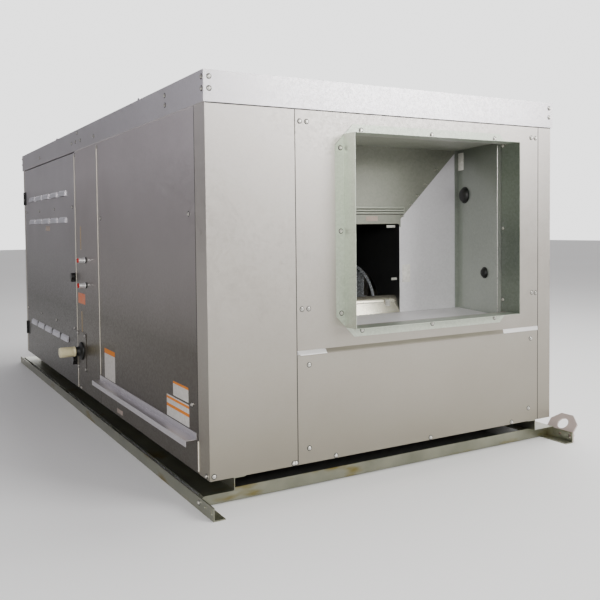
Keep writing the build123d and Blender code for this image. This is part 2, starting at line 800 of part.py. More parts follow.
with BuildPart() as door_leaves:
    for z in hinge_z:
        z0 = sill + z - hinge_h / 2
        block(left, left - hinge_t, door_y1 - hinge_leaf_w, pin_y - leaf_from_pin, z0, z0 + hinge_h)
        with BuildSketch(Plane.XY.offset(z0 + knuckle_h + knuckle_gap)):
            with Locations((pin_x, pin_y)):
                Circle(knuckle_r)
            area(left, pin_y, left - hinge_t, pin_y - 2 * knuckle_r)
        extrude(amount=knuckle_h - 2 * knuckle_gap)
save(door_leaves, "door_leaves")

# Latches: a round knob with a pointer, a stem through the door and a cam that hangs behind it like the
# pointer. A quarter turn brings the cam behind the folded edge of the strip.
cam_x = left + panel_deep + cam_clear
cam_side = cam_w / 2
knob_x = left - fit_gap
for z, label in zip(latch_z, ("latch_lower", "latch_upper")):
    with BuildPart() as latch:
        with BuildSketch(Plane.YZ.offset(knob_x)):
            with Locations((latch_y, sill + z)):
                Circle(knob_r)
                with Locations((0, -knob_tail / 2)):
                    Rectangle(knob_r * 0.7, knob_tail)
        extrude(amount=-knob_out)
        with BuildSketch(Plane.YZ.offset(knob_x)):
            with Locations((latch_y, sill + z)):
                Circle(latch_stem_r)
        extrude(amount=cam_x + cam_t - knob_x)
        cam_z0, cam_z1 = sill + z - cam_l, sill + z + cam_side
        block(cam_x, cam_x + cam_t, latch_y - cam_side, latch_y + cam_side, cam_z0, cam_z1)
    save(latch, label)

# Pilot lights
with BuildPart() as pilot_barrels:
    for z in pilot_z:
        with BuildSketch(Plane.YZ.offset(left + panel_deep)):
            with Locations((pilot_y, sill + z)):
                Circle(pilot_r)
        extrude(amount=-(panel_deep + pilot_out))
save(pilot_barrels, "pilot_barrels")

with BuildPart() as pilot_lenses:
    for z in pilot_z:
        with BuildSketch(Plane.YZ.offset(left - pilot_out)):
            with Locations((pilot_y, sill + z)):
                Circle(pilot_r)
        extrude(amount=-lens_out)
save(pilot_lenses, "pilot_lenses")

# Gas pipe stub through a plate and a rubber boot, with its shipping cap on
with BuildPart() as pipe_plate:
    with BuildSketch(Plane.YZ.offset(left)):
        with Locations((strip_y[1] - half_seam - plate_w / 2, stub_z)):
            Rectangle(plate_w, plate_h)
        with Locations((pipe_y, stub_z)):
            Circle(boot_r - boot_t, mode=Mode.SUBTRACT)
    extrude(amount=-plate_t)
save(pipe_plate, "pipe_plate")

with BuildPart() as pipe_boot:
    with BuildSketch(Plane.YZ.offset(left - plate_t)):
        with Locations((pipe_y, stub_z)):
            Circle(boot_r)
            Circle(pipe_r + fit_gap, mode=Mode.SUBTRACT)
    extrude(amount=-boot_t)
save(pipe_boot, "pipe_boot")

cap_x = left - pipe_out
with BuildPart() as gas_pipe:
    with BuildSketch(Plane.YZ.offset(left + pipe_in)):
        with Locations((pipe_y, stub_z)):
            Circle(pipe_r)
    extrude(amount=-(pipe_in + pipe_out + cap_l / 2))
save(gas_pipe, "gas_pipe")

with BuildPart() as pipe_cap:
    with BuildSketch(Plane.YZ.offset(cap_x)):
        with Locations((pipe_y, stub_z)):
            Circle(cap_r)
    extrude(amount=-cap_l)
    with BuildSketch(Plane.YZ.offset(cap_x)):
        with Locations((pipe_y, stub_z)):
            Circle(pipe_r + fit_gap)
    extrude(amount=-cap_l / 2, mode=Mode.SUBTRACT)
save(pipe_cap, "pipe_cap")

# Ledge along the foot of the access panel
with BuildPart() as rain_ledge:
    ledge_y0, ledge_y1 = front + post_side + ledge_end, strip_y[0] + ledge_end / 2
    ledge_top = sill + ledge_z
    with BuildSketch(Plane.XZ.offset(-ledge_y0)):
        area(left, ledge_top, left - ledge_out, ledge_top - ledge_t)
        area(left - ledge_out, ledge_top, left - ledge_out + ledge_t, ledge_top - ledge_lip)
        area(left, ledge_top, left - ledge_t, ledge_top + ledge_lip)
    extrude(amount=-(ledge_y1 - ledge_y0))
save(rain_ledge, "rain_ledge")

# Walls of the control compartment: a long partition and a wall at each end
deep_x = left + compartment_deep
wall_z0, wall_z1 = sill + pan_t, roof_under - inner_t
room_y0, room_y1 = strip_y[0] - half_seam, post_y + half_seam
with BuildPart() as compartment_back:
    block(deep_x, deep_x + inner_t, room_y0, room_y1, wall_z0, wall_z1)
save(compartment_back, "compartment_back")

with BuildPart() as compartment_ends:
    near_x = inner_left + pan_t
    block(near_x, deep_x, room_y0, room_y0 + inner_t, wall_z0, wall_z1)
    block(near_x + inner_t, deep_x, room_y1 - inner_t, room_y1, wall_z0, wall_z1)
save(compartment_ends, "compartment_ends")

# Far end: a plain sheet round the air intake, and the fixed louvre in it
intake_x0 = deep_x + inner_t + intake_margin
intake_x1 = right - rear_post_w - intake_margin
intake_z0 = sill + intake_z - intake_h / 2
intake_z1 = intake_z0 + intake_h
with BuildPart() as rear_panel:
    end_x = right - rear_post_w - half_seam
    block(-end_x, end_x, inner_back, back, sill, panel_top)
    fold_x, fold_z0, fold_z1 = end_x - skin, sill + skin, panel_top - skin
    block(-fold_x, fold_x, inner_back, back - skin, fold_z0, fold_z1, mode=Mode.SUBTRACT)
    block(intake_x0 - skin, intake_x1 + skin, inner_back, back, intake_z0 - skin, intake_z1 + skin)
    block(intake_x0, intake_x1, inner_back, back, intake_z0, intake_z1, mode=Mode.SUBTRACT)
save(rear_panel, "rear_panel")

with BuildPart() as intake_louvre:
    y0, y1 = back - intake_frame_deep, back
    block(intake_x0, intake_x1, y0, y1, intake_z0, intake_z1)
    block(
        intake_x0 + intake_frame, intake_x1 - intake_frame, y0, y1, intake_z0 + intake_frame,
        intake_z1 - intake_frame, mode=Mode.SUBTRACT,
    )
    pitch = (intake_h - 2 * intake_frame) / blade_n
    for i in range(blade_n):
        blade_z = intake_z0 + intake_frame + (i + 0.5) * pitch
        with BuildSketch(Plane.YZ.offset(intake_x0 + intake_frame)):
            with Locations(Location(((y0 + y1) / 2, blade_z), -45)):
                Rectangle(blade_deep, blade_sheet)
            area(y0, intake_z0, y0 - blade_deep, intake_z1, mode=Mode.SUBTRACT)
            area(y1, intake_z0, y1 + blade_deep, intake_z1, mode=Mode.SUBTRACT)
        extrude(amount=intake_x1 - intake_x0 - 2 * intake_frame)
save(intake_louvre, "intake_louvre")
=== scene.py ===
"""Looks of the makeup air unit: finishes for its CAD pieces, and its screws, stickers and trim."""

import json

import bpy
import numpy as np
from mathutils import Matrix, Vector


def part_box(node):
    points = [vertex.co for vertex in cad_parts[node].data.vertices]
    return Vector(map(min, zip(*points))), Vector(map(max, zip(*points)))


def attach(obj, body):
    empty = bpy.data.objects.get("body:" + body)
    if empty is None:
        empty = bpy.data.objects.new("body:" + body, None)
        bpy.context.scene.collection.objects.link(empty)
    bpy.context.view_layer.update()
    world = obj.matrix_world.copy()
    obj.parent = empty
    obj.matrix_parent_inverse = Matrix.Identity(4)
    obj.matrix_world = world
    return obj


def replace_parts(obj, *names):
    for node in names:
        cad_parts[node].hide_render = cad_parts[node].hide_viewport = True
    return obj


MM = 0.001

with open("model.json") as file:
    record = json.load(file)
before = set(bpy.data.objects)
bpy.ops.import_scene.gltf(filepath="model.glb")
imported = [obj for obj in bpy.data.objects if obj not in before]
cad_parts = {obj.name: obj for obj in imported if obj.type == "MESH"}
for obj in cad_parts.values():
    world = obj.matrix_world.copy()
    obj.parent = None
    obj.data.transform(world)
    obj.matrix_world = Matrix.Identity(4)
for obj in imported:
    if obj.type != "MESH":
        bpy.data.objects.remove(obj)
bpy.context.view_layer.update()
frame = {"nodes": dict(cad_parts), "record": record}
nodes = frame["nodes"]

# Faces and levels of the cabinet, in metres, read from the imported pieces
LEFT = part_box("access_panel")[0].x
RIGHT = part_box("right_panels")[1].x
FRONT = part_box("duct_panel")[0].y
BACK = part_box("rear_panel")[1].y
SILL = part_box("lower_panel")[0].z
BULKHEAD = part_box("bulkhead_top")[0].y
RAIL_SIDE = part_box("rail_right")[1].x
FASCIA_THICK = 5 * MM
LUG_THICK = 6 * MM
# The plenum's right wall starts at the duct opening's edge, a flare in from the floor's, and leans
# out with depth, as the sine and cosine say
PLENUM_FLARE = 74.5 * MM
WALL_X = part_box("plenum_floor")[1].x - PLENUM_FLARE
WALL_DEEP = 27
WALL_SIN, WALL_COS = 0.2357, 0.9718

# A face is its origin and its across, up and outward directions
UP = (0, 0, 1)
FACES = {
    "front": ((0, FRONT, SILL), (1, 0, 0), UP, (0, -1, 0)),
    "left": ((LEFT, 0, SILL), (0, 1, 0), UP, (-1, 0, 0)),
    "right": ((RIGHT, 0, SILL), (0, 1, 0), UP, (1, 0, 0)),
    "rear": ((0, BACK, SILL), (1, 0, 0), UP, (0, 1, 0)),
    "fascia_front": ((0, FRONT - FASCIA_THICK, SILL), (1, 0, 0), UP, (0, -1, 0)),
    "fascia_left": ((LEFT - FASCIA_THICK, 0, SILL), (0, 1, 0), UP, (-1, 0, 0)),
    "fascia_right": ((RIGHT + FASCIA_THICK, 0, SILL), (0, 1, 0), UP, (1, 0, 0)),
    "fascia_rear": ((0, BACK + FASCIA_THICK, SILL), (1, 0, 0), UP, (0, 1, 0)),
    "bulkhead": ((0, BULKHEAD, SILL), (1, 0, 0), UP, (0, -1, 0)),
    "rail_left": ((-RAIL_SIDE, 0, 0), (0, 1, 0), UP, (-1, 0, 0)),
    "lug": ((RAIL_SIDE + LUG_THICK, 0, 0), (0, 1, 0), UP, (1, 0, 0)),
    "return": ((WALL_X, 0, SILL), (0, 1, 0), UP, (-1, 0, 0)),
    "plenum_wall": (
        (WALL_X, FRONT + WALL_DEEP * MM, SILL), (WALL_SIN, WALL_COS, 0), UP,
        (-WALL_COS, WALL_SIN, 0),
    ),
}


# Materials


def linear(hex_colour, alpha=1.0):
    """An sRGB hex colour as the linear values that a socket takes."""
    srgb = [int(hex_colour[i:i + 2], 16) / 255 for i in (1, 3, 5)]
    return [c / 12.92 if c <= 0.04045 else ((c + 0.055) / 1.055) ** 2.4 for c in srgb] + [alpha]


def add(tree, kind, inputs=None, **settings):
    """Adds one node, gives it its settings, and sets or links its inputs, named or numbered. A hex
    colour is turned into linear values."""
    node = tree.nodes.new(kind)
    for name, value in settings.items():
        setattr(node, name, value)
    for name, value in (inputs or {}).items():
        if isinstance(value, bpy.types.NodeSocket):
            tree.links.new(value, node.inputs[name])
        else:
            node.inputs[name].default_value = linear(value) if isinstance(value, str) else value
    return node


def blank_material(name):
    """A new material with an empty tree, its output node, and Object coordinates in metres."""
    material = bpy.data.materials.new(name)
    material.use_nodes = True
    tree = material.node_tree
    tree.nodes.clear()
    output = add(tree, "ShaderNodeOutputMaterial")
    place = add(tree, "ShaderNodeTexCoord").outputs["Object"]
    return material, tree, output, place


def shaded_by_height(tree, colour, height, height_shade, shade_tone):
    """Painted shade over a colour: a darker tone that fades in between two heights. Height shade
    gives the heights in metres where it starts and where it is thickest, and its share there. Faces
    that look up get little of it, so their tops stay lighter: painted light."""
    start, thickest, share = height_shade
    facing = add(tree, "ShaderNodeNewGeometry").outputs["Normal"]
    upward = add(tree, "ShaderNodeSeparateXYZ", {0: facing}).outputs[2]
    # Faces that look up keep less of the shade, so their tops stay lighter: painted light
    shade_by_facing = add(
        tree, "ShaderNodeMapRange",
        {"Value": upward, "From Min": 0.1, "From Max": 0.5, "To Min": share, "To Max": 0.1},
    ).outputs[0]
    # Painted shade fades in between the two heights
    low = add(
        tree, "ShaderNodeMapRange",
        {"Value": height, "From Min": start, "From Max": thickest, "To Max": shade_by_facing},
    ).outputs[0]
    return add(tree, "ShaderNodeMix", {0: low, 6: colour, 7: shade_tone}, data_type="RGBA").outputs[2]


def galvanised(name, light, dark, spangle_mm=7, spangle=0.3, gloss=(0.36, 0.5), metallic=0.9,
               height_shade=None, shade_tone="#7d7158", deep_shade=None, proud_highlight=None):
    """Hot-dip galvanised sheet steel: zinc crystals a few millimetres across, each with its own
    sheen, a sandy grain, drawn as coarse as 2.4 mm so that it shows, a faint cloud of handling
    marks 0.3 m across, and the sheet's slight waves of 0.45 m. Light and dark are the two ends of
    its grey. Height shade and shade tone are those of shaded_by_height, painted shade. Deep shade
    gives the places along the unit where near-black painted shade starts and where it covers the
    sheet. Proud highlight gives the places on X between which a pressed part stands proud, drawn
    paler and less metallic there: a painted highlight."""
    material, tree, output, place = blank_material(name)
    crystals = add(tree, "ShaderNodeTexVoronoi", {"Vector": place, "Scale": 1000 / spangle_mm})
    crystal = add(tree, "ShaderNodeSeparateColor", {0: crystals.outputs["Color"]}).outputs[0]
    grain = add(
        tree, "ShaderNodeTexNoise", {"Vector": place, "Scale": 420.0, "Detail": 2.0}
    ).outputs[0]
    cloud = add(
        tree, "ShaderNodeTexNoise", {"Vector": place, "Scale": 3.5, "Detail": 5.0}
    ).outputs[0]
    speckle = add(tree, "ShaderNodeMath", {0: crystal, 1: grain}, operation="ADD").outputs[0]
    cloud_part = add(
        tree, "ShaderNodeMath", {0: cloud, 1: 1 - spangle}, operation="MULTIPLY"
    ).outputs[0]
    shade = add(
        tree, "ShaderNodeMath", {0: speckle, 1: spangle / 1.4, 2: cloud_part},
        operation="MULTIPLY_ADD",
    ).outputs[0]
    colour = add(tree, "ShaderNodeMix", {0: shade, 6: dark, 7: light}, data_type="RGBA").outputs[2]
    where = add(tree, "ShaderNodeSeparateXYZ", {0: place}).outputs
    if height_shade:
        colour = shaded_by_height(tree, colour, where[2], height_shade, shade_tone)
    # Near-black painted shade deeper into the scroll along Y
    if deep_shade:
        deep = add(
            tree, "ShaderNodeMapRange",
            {"Value": where[1], "From Min": deep_shade[0], "From Max": deep_shade[1]},
        ).outputs[0]
        colour = add(
            tree, "ShaderNodeMix", {0: deep, 6: colour, 7: "#050505"}, data_type="RGBA"
        ).outputs[2]
    # Painted highlight: the proud louvres are drawn paler and less metallic
    if proud_highlight:
        proud = add(
            tree, "ShaderNodeMapRange",
            {"Value": where[0], "From Min": proud_highlight[0], "From Max": proud_highlight[1]},
        ).outputs[0]
        colour = add(
            tree, "ShaderNodeMix", {0: proud, 6: colour, 7: "#c9c8ce"}, data_type="RGBA"
        ).outputs[2]
        metallic = add(
            tree, "ShaderNodeMapRange", {"Value": proud, "To Min": metallic, "To Max": 0.3}
        ).outputs[0]
    rough = add(
        tree, "ShaderNodeMapRange", {"Value": crystal, "To Min": gloss[0], "To Max": gloss[1]}
    ).outputs[0]
    waves = add(
        tree, "ShaderNodeTexNoise", {"Vector": place, "Scale": 2.2, "Detail": 1.0}
    ).outputs[0]
    height = add(
        tree, "ShaderNodeMath", {0: grain, 1: 0.012, 2: waves}, operation="MULTIPLY_ADD"
    ).outputs[0]
    bump = add(
        tree, "ShaderNodeBump", {"Height": height, "Strength": 0.1, "Distance": 4 * MM}
    ).outputs[0]
    shader = add(
        tree, "ShaderNodeBsdfPrincipled",
        {"Base Color": colour, "Roughness": rough, "Metallic": metallic, "Normal": bump},
    )
    tree.links.new(shader.outputs[0], output.inputs[0])
    return material


def stained_steel(name, light, dark, stain):
    """Heavy galvanised angle, dulled to olive grey by yard dirt in patches of 0.1 m, and yellowed
    in places by chromate stains 0.15 m long."""
    material, tree, output, place = blank_material(name)
    patches = add(
        tree, "ShaderNodeTexNoise", {"Vector": place, "Scale": 9.0, "Detail": 6.0}
    ).outputs[0]
    base = add(tree, "ShaderNodeMix", {0: patches, 6: dark, 7: light}, data_type="RGBA").outputs[2]
    stretched = add(
        tree, "ShaderNodeMapping", {"Vector": place, "Scale": (4.0, 4.0, 14.0)}
    ).outputs[0]
    stains = add(
        tree, "ShaderNodeTexNoise", {"Vector": stretched, "Scale": 1.6, "Detail": 3.0}
    ).outputs[0]
    where = add(
        tree, "ShaderNodeMapRange", {"Value": stains, "From Min": 0.58, "From Max": 0.7}
    ).outputs[0]
    colour = add(tree, "ShaderNodeMix", {0: where, 6: base, 7: stain}, data_type="RGBA").outputs[2]
    rough = add(
        tree, "ShaderNodeMapRange", {"Value": patches, "To Min": 0.22, "To Max": 0.45}
    ).outputs[0]
    shader = add(
        tree, "ShaderNodeBsdfPrincipled",
        {"Base Color": colour, "Roughness": rough, "Metallic": 0.95},
    )
    tree.links.new(shader.outputs[0], output.inputs[0])
    return material


def middle_shaded_steel(name, light, middle_shade_tone, span):
    """Bright galvanised strip, a painted highlight, with painted shade laid along it between two
    places on X in a darker tone. The shaded span's ends wander by up to 50 mm, in waves of 25 mm."""
    material, tree, output, place = blank_material(name)
    across = add(tree, "ShaderNodeSeparateXYZ", {0: place}).outputs[0]
    ragged = add(
        tree, "ShaderNodeTexNoise", {"Vector": place, "Scale": 40.0, "Detail": 3.0}
    ).outputs[0]
    wander = 0.05
    edge = add(
        tree, "ShaderNodeMath", {0: ragged, 1: wander, 2: across}, operation="MULTIPLY_ADD"
    ).outputs[0]
    middle, half = (span[0] + span[1]) / 2 + wander / 2, (span[1] - span[0]) / 2
    # Painted shade along the middle of the strip; its bright ends are a painted highlight
    shaded_span = add(
        tree, "ShaderNodeMath", {0: edge, 1: middle, 2: half}, operation="COMPARE"
    ).outputs[0]
    colour = add(
        tree, "ShaderNodeMix", {0: shaded_span, 6: light, 7: middle_shade_tone}, data_type="RGBA"
    ).outputs[2]
    rough = add(
        tree, "ShaderNodeMapRange", {"Value": ragged, "To Min": 0.25, "To Max": 0.45}
    ).outputs[0]
    shader = add(
        tree, "ShaderNodeBsdfPrincipled",
        {"Base Color": colour, "Roughness": rough, "Metallic": 0.85},
    )
    tree.links.new(shader.outputs[0], output.inputs[0])
    return material


def moulded(name, light, dark, rough, grain_mm=1.2, grain=0.3):
    """Moulded rubber or plastic: one colour, mottled over 17 mm, with the mould's fine grain."""
    material, tree, output, place = blank_material(name)
    mottle = add(
        tree, "ShaderNodeTexNoise", {"Vector": place, "Scale": 60.0, "Detail": 3.0}
    ).outputs[0]
    colour = add(tree, "ShaderNodeMix", {0: mottle, 6: dark, 7: light}, data_type="RGBA").outputs[2]
    texture = add(
        tree, "ShaderNodeTexNoise", {"Vector": place, "Scale": 1000 / grain_mm}
    ).outputs[0]
    bump = add(
        tree, "ShaderNodeBump", {"Height": texture, "Strength": grain, "Distance": 0.1 * MM}
    ).outputs[0]
    shader = add(
        tree, "ShaderNodeBsdfPrincipled", {"Base Color": colour, "Roughness": rough, "Normal": bump}
    )
    tree.links.new(shader.outputs[0], output.inputs[0])
    return material


def plated(name, light, dark, rough):
    """Plated or turned metal: bright, with faint wear that shows as duller patches of 6 mm."""
    material, tree, output, place = blank_material(name)
    wear = add(
        tree, "ShaderNodeTexNoise", {"Vector": place, "Scale": 180.0, "Detail": 3.0}
    ).outputs[0]
    colour = add(tree, "ShaderNodeMix", {0: wear, 6: dark, 7: light}, data_type="RGBA").outputs[2]
    patchy = add(
        tree, "ShaderNodeMapRange", {"Value": wear, "To Min": rough, "To Max": rough + 0.2}
    ).outputs[0]
    shader = add(
        tree, "ShaderNodeBsdfPrincipled",
        {"Base Color": colour, "Roughness": patchy, "Metallic": 1.0},
    )
    tree.links.new(shader.outputs[0], output.inputs[0])
    return material


def sticker_paper(name, paper, band="", bands=()):
    """Coated label stock, printed with plain bands and no lettering, and soiled in spots of 11 mm.
    Bands are spans of the label's own UV height, from 0 at its lower edge to 1 at its upper."""
    material, tree, output, place = blank_material(name)
    label = add(tree, "ShaderNodeUVMap", uv_map="label").outputs[0]
    up = add(tree, "ShaderNodeSeparateXYZ", {0: label}).outputs[1]
    grime = add(
        tree, "ShaderNodeTexNoise", {"Vector": place, "Scale": 90.0, "Detail": 4.0}
    ).outputs[0]
    clean = add(
        tree, "ShaderNodeMapRange", {"Value": grime, "To Min": 0.2, "To Max": 1.0}
    ).outputs[0]
    colour = add(
        tree, "ShaderNodeMix", {0: clean, 6: "#a8a298", 7: paper}, data_type="RGBA"
    ).outputs[2]
    for low, high in bands:
        middle, half = (low + high) / 2, (high - low) / 2
        inside = add(
            tree, "ShaderNodeMath", {0: up, 1: middle, 2: half}, operation="COMPARE"
        ).outputs[0]
        colour = add(
            tree, "ShaderNodeMix", {0: inside, 6: colour, 7: band}, data_type="RGBA"
        ).outputs[2]
    shader = add(
        tree, "ShaderNodeBsdfPrincipled",
        {"Base Color": colour, "Roughness": 0.6, "Specular IOR Level": 0.15},
    )
    tree.links.new(shader.outputs[0], output.inputs[0])
    return material


# Skin of the duct end, right side and far end: dull sheet, faint spangle, painted shade low down
panel_steel = galvanised(
    "galvanised_sheet", "#d8d3cf", "#b8b2ac", height_shade=(1.25, 0.1, 0.72), shade_tone="#726c56"
)
# Skin of the control side: a darker copy of the sheet, painted shade, strongest low down
shaded_side_steel = galvanised(
    "shaded_galvanised_sheet", "#e0d9da", "#bfb8b7", gloss=(0.32, 0.44), height_shade=(1.08, 0.45, 0.93),
    shade_tone="#4a4539",
)
# The control door is the same shaded sheet, with a painted highlight on its proud louvres
door_steel = galvanised(
    "shaded_galvanised_door", "#dcd8db", "#bab6b7", gloss=(0.33, 0.45), height_shade=(1.06, 0.45, 0.93),
    shade_tone="#403e37", proud_highlight=(LEFT - 1 * MM, LEFT - 3 * MM),
)
# Fascias and ledge: a brighter copy of the sheet, painted light on the ledge top and the hems
trim_steel = galvanised("bright_galvanised_sheet", "#e3e0e3", "#c4c0c1", gloss=(0.3, 0.42))
# Drip edge: bright at its ends, a painted highlight, with painted shade along the middle
drip_steel = middle_shaded_steel("middle_shaded_galvanised_strip", "#f1efee", "#8e887c", (-0.31, 0.47))
# Duct collar: greenish chromated sheet; its right leg has a darker copy, painted shade
collar_steel = galvanised(
    "chromated_galvanised_sheet", "#ced4c7", "#a3aa9b", spangle=0.5, metallic=0.8
)
collar_shade_steel = galvanised("shaded_chromated_sheet", "#99a297", "#747c71", spangle=0.5)
# Inside the plenum: the walls and ceiling are olive, the floor and the right-hand sheet are pale,
# painted light
inner_steel = galvanised(
    "inner_galvanised_sheet", "#b3b5a9", "#878b7e", gloss=(0.34, 0.5), metallic=0.5
)
# The ceiling sheet: a darker copy of the olive sheet, painted shade
shaded_inner_steel = galvanised("shaded_inner_sheet", "#94958a", "#696b60", metallic=0.5)
# The right wall: darker toward the top, painted shade
right_wall_steel = galvanised(
    "right_wall_sheet", "#b9beb5", "#8c9289", gloss=(0.3, 0.42), metallic=0.6,
    height_shade=(0.5, 1.1, 0.6), shade_tone="#575c54",
)
# The floor and the bulkhead's sheets: a pale copy, painted light, darker toward the top, painted
# shade
lit_inner_steel = galvanised(
    "lit_inner_sheet", "#f4f3f4", "#cfccce", gloss=(0.4, 0.55), metallic=0.3,
    height_shade=(0.5, 1.15, 0.45), shade_tone="#9a94a0",
)
# Skid angles: olive grey with the sheen of worn zinc
skid_metal = stained_steel("stained_galvanised_angle", "#a3a392", "#686a5c", "#7c7144")
# Lifting lugs: thick plate, zinc-plated, an even warm grey
lug_metal = galvanised("zinc_plated_plate", "#d3c5c0", "#b3a5a0", spangle=0.1, metallic=0.6)
# Wheel and stand: thinner sheet in the dark, drawn near white, painted light
blower_metal = galvanised(
    "lit_blower_sheet", "#f0f3f5", "#d4d9dc", spangle=0.05, gloss=(0.22, 0.3), metallic=0.6
)
# Scroll: its rolled lip is bright, and painted shade blackens it from there inwards, with its two
# sides
scroll_steel = galvanised(
    "scroll_sheet", "#cfcaba", "#aaa594", spangle=0.04, gloss=(0.2, 0.26), metallic=0.8,
    deep_shade=(-1.0, -0.96),
)
# The scroll's sides: near-black and matt, painted shade
deep_shade_black = moulded("near_black_painted_shade", "#141414", "#050505", 0.6)
# Shaft: ground smooth, so it mirrors what little light reaches it
shaft_metal = plated("ground_shaft_steel", "#b9b9b6", "#8f8f8c", 0.22)
# Barrels of the pilot lights: chrome drawn nearly white, a painted highlight, with no crystals
highlit_plating = galvanised(
    "plating_with_painted_highlight", "#ffffff", "#e6e6e3", spangle=0.0, gloss=(0.16, 0.2), metallic=0.6
)
# Screws and tabs are bright zinc, and the lugs' bolts are yellow with chromate
zinc = plated("zinc_plated_screw_steel", "#e6e4de", "#b9b6ae", 0.2)
brass = plated("yellow_chromate_bolt_steel", "#c79a4c", "#8d6a32", 0.28)
# Hinges are black enamel with a soft sheen, and the latch knobs are glossier phenolic
black_steel = moulded("black_enamelled_steel", "#1d1c1b", "#0d0d0d", 0.38)
black_plastic = moulded("black_phenolic", "#1a1918", "#0b0b0b", 0.32)
# Soft black rubber, waxy ivory polyethylene and a glossy red acrylic lens
rubber = moulded("black_rubber", "#12130f", "#080907", 0.5, grain_mm=2.0)
ivory_plastic = moulded("ivory_polyethylene", "#efe6be", "#ddd1a2", 0.42)
lens_plastic = moulded("red_acrylic", "#c3261b", "#8e130d", 0.12, grain=0.05)
# Foams and tapes are matt and open-grained, and the sealant is matt and nearly black
foam = moulded("tan_foam", "#b39a72", "#8d7752", 0.9, grain_mm=1.5, grain=0.6)
gasket_foam = moulded("cream_foam_tape", "#efe9da", "#d3cbb6", 0.8, grain_mm=1.5, grain=0.6)
sealant = moulded("dark_seam_sealant", "#33302c", "#1c1a18", 0.7)
tan_tape = moulded("tan_edge_tape", "#c2a878", "#94794c", 0.7)
# Gas pipe: black iron with an oily sheen
pipe_metal = moulded("black_iron_pipe", "#2b2a28", "#161514", 0.45)

FINISHES = {
    "galvanised_panel": panel_steel, "galvanised_trim": trim_steel,
    "galvanised_collar": collar_steel, "galvanised_inner": inner_steel, "skid_steel": skid_metal,
    "blower_steel": blower_metal, "shaft_steel": shaft_metal, "hinge_black": black_steel,
    "latch_black": black_plastic, "pilot_barrel": highlit_plating, "pilot_lens": lens_plastic,
    "boot_rubber": rubber, "pipe_steel": pipe_metal, "cap_plastic": ivory_plastic,
    "seal_foam": foam,
}

# Pieces whose sheet looks different from the rest of their slot
OWN_FINISHES = {
    "access_panel": shaded_side_steel, "control_strip": shaded_side_steel,
    "control_door": door_steel, "door_header": shaded_side_steel, "pipe_plate": shaded_side_steel,
    "plenum_floor": lit_inner_steel, "bulkhead_right": lit_inner_steel,
    "bulkhead_left": lit_inner_steel, "bulkhead_top": shaded_inner_steel,
    "plenum_right": right_wall_steel, "drip_edge": drip_steel, "scroll_wrap": scroll_steel,
    "scroll_sides": deep_shade_black, "collar_right": collar_shade_steel, "lifting_lugs": lug_metal,
}


def finish_cad_pieces():
    """Each CAD node takes the finish of the material slot that the record gives it, or its own."""
    slot_of = {row["node"]: row["material_slot"] for row in frame["record"]["subparts"]}
    for name, piece in nodes.items():
        piece.data.materials.clear()
        piece.data.materials.append(OWN_FINISHES.get(name, FINISHES[slot_of[name]]))


# Shapes


def surface(name, rows, material, body="root"):
    """One mesh from many closed loops. rows has the shape (pieces, rows, points round, 3):
    neighbouring rows are joined by quads, and the first and last row are each closed by one flat
    face."""
    count, height, around, _ = rows.shape
    step_v, step_u = np.meshgrid(np.arange(height - 1), np.arange(around), indexing="ij")
    next_v, next_u = step_v + 1, (step_u + 1) % around
    corners = [
        step_v * around + step_u, step_v * around + next_u,
        next_v * around + next_u, next_v * around + step_u,
    ]
    quads = np.stack([c.ravel() for c in corners], axis=1)
    starts = (np.arange(count) * height * around)[:, None, None]
    faces = (quads[None] + starts).reshape(-1, 4).tolist()
    first = np.arange(around)[::-1]
    last = np.arange(around) + (height - 1) * around
    faces += (np.stack([first, last])[None] + starts).reshape(-1, around).tolist()
    mesh = bpy.data.meshes.new(name)
    mesh.from_pydata(rows.reshape(-1, 3).tolist(), [], faces)
    mesh.polygons.foreach_set("use_smooth", np.ones(len(mesh.polygons), bool))
    mesh.set_sharp_from_angle(angle=np.radians(35))
    mesh.materials.append(material)
    piece = bpy.data.objects.new(name, mesh)
    bpy.context.scene.collection.objects.link(piece)
    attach(piece, body)
    return piece


def on_face(face, points, lift=0.0):
    """Origins and axes for points across and up a face, lifted off it, in millimetres."""
    origin, across, up, out = (np.array(v, float) for v in FACES[face])
    flat = np.array(points, float).reshape(-1, 2) * MM
    origins = origin + flat[:, :1] * across + flat[:, 1:] * up + lift * MM * out
    axes = np.broadcast_to(np.stack([across, up, out]), (len(flat), 3, 3))
    return origins, axes


def right_handed(axes):
    """Axes with across turned round where they are left-handed, so that faces point outwards."""
    flipped = axes.copy()
    wrong = np.linalg.det(axes) < 0
    flipped[wrong, 0] *= -1
    return flipped


def placed(rows, places):
    """The same rows set at every place: local x, y and z go along each place's axes."""
    origins, axes = places
    return origins[:, None, None, :] + np.einsum("vuk,nkx->nvux", rows, right_handed(axes))


def turned(profile, around, flats=0, twist=0.0):
    """Rows of a turned shape: each (radius, height) of the profile, in millimetres, goes round in a
    circle. A point with a third value of 1 is cut to a polygon with that many flats: its radius is
    divided by the cosine of the angle from the middle of the nearest flat."""
    angle = np.linspace(0, 2 * np.pi, around, endpoint=False)
    rows = []
    for radius, height, *cut in profile:
        reach = radius
        if cut:
            from_middle = (angle + np.pi / flats) % (2 * np.pi / flats) - np.pi / flats
            reach = radius / np.cos(from_middle)
        spin = angle + twist
        rows.append(
            np.stack([reach * np.cos(spin), reach * np.sin(spin), np.full(around, height)], axis=1)
        )
    return np.array(rows) * MM


# Profiles of screws and bolts, in millimetres: radius, height, and 1 where the hexagon is
SCREW_HEAD = [(6.2, 0), (6.2, 0.8), (5.0, 1.3), (4.1, 1.4, 1), (4.1, 4.2, 1), (3.4, 4.8, 1)]
SCREW_TIP = [(2.8, 0), (2.8, 9), (0.4, 16)]
BOLT_HEAD = [(11, 0), (11, 1.6), (8.0, 1.7, 1), (8.0, 6.4, 1), (6.8, 7.2, 1)]
